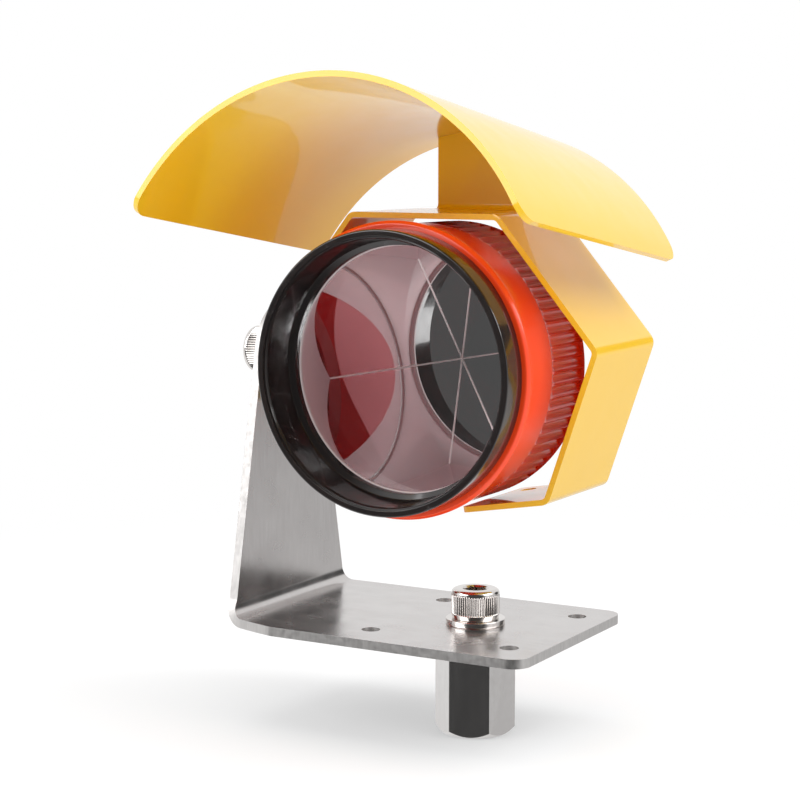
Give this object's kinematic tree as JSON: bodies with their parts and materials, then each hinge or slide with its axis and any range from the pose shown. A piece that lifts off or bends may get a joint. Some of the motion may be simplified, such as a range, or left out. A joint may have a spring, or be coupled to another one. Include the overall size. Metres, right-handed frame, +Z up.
{
  "type": "survey prism",
  "caption": "Corner-cube survey prism in a ribbed canister that tilts on an L bracket under a rain hood, swivelling on a hex standoff.",
  "frame": {"origin": "centre of the flat floor of the threaded hole in the standoff's foot, on the swivel axis", "axes": "+Z up along the swivel axis, -Y the way the prism looks at rest, X along the tilt axis with the bracket's arm at -X"},
  "size_m": [0.1197, 0.0985, 0.1743],
  "materials": {
    "stainless_steel": "brushed",
    "plated_steel": "bright nickel",
    "brass": "machined",
    "yellow_paint": "gloss powder coat",
    "red_plastic": "gloss",
    "black_gloss_plastic": "gloss",
    "black_nylon": "matte",
    "grey_rubber": "matte",
    "optical_glass": "polished"
  },
  "bodies": {
    "base": {"hex_standoff": "stainless_steel", "base_washer": "plated_steel"},
    "clamp_screw": {"base_screw": "plated_steel"},
    "bracket": {"l_bracket": "stainless_steel", "pivot_washer": "plated_steel", "pivot_spacer": "stainless_steel"},
    "tilt_screw": {"pivot_screw": "plated_steel"},
    "canister": {"canister_body": "red_plastic", "front_ring": "black_gloss_plastic", "ring_seal": "black_nylon", "glass_seal": "grey_rubber", "prism_glass": "optical_glass", "prism_cradle": "red_plastic", "prism_spring": "plated_steel", "rear_cap": "black_nylon", "rear_seal": "grey_rubber", "thread_insert": "brass", "friction_washer": "black_nylon"},
    "hood": {"hood_sheet": "yellow_paint", "hood_strap": "yellow_paint"}
  },
  "joints": [
    {"name": "bracket_swivel", "type": "hinge", "parent": "base", "child": "bracket", "pos_m": [0, 0, 0.0163], "axis": [0, 0, 1], "continuous": true},
    {"name": "clamp_screw_turn", "type": "hinge", "parent": "base", "child": "clamp_screw", "pos_m": [0, 0, 0.0163], "axis": [0, 0, 1], "continuous": true},
    {"name": "tilt_screw_turn", "type": "hinge", "parent": "bracket", "child": "tilt_screw", "pos_m": [-0.0633, 0.0035, 0.0865], "axis": [1, 0, 0], "continuous": true},
    {"name": "canister_tilt", "type": "hinge", "parent": "bracket", "child": "canister", "pos_m": [-0.0085, 0.0035, 0.0865], "axis": [1, 0, 0], "range_deg": [-90, 80]},
    {"name": "hood_trim", "type": "hinge", "parent": "canister", "child": "hood", "pos_m": [-0.0085, 0.0035, 0.0865], "axis": [1, 0, 0], "range_deg": [-2, 2]}
  ]
}
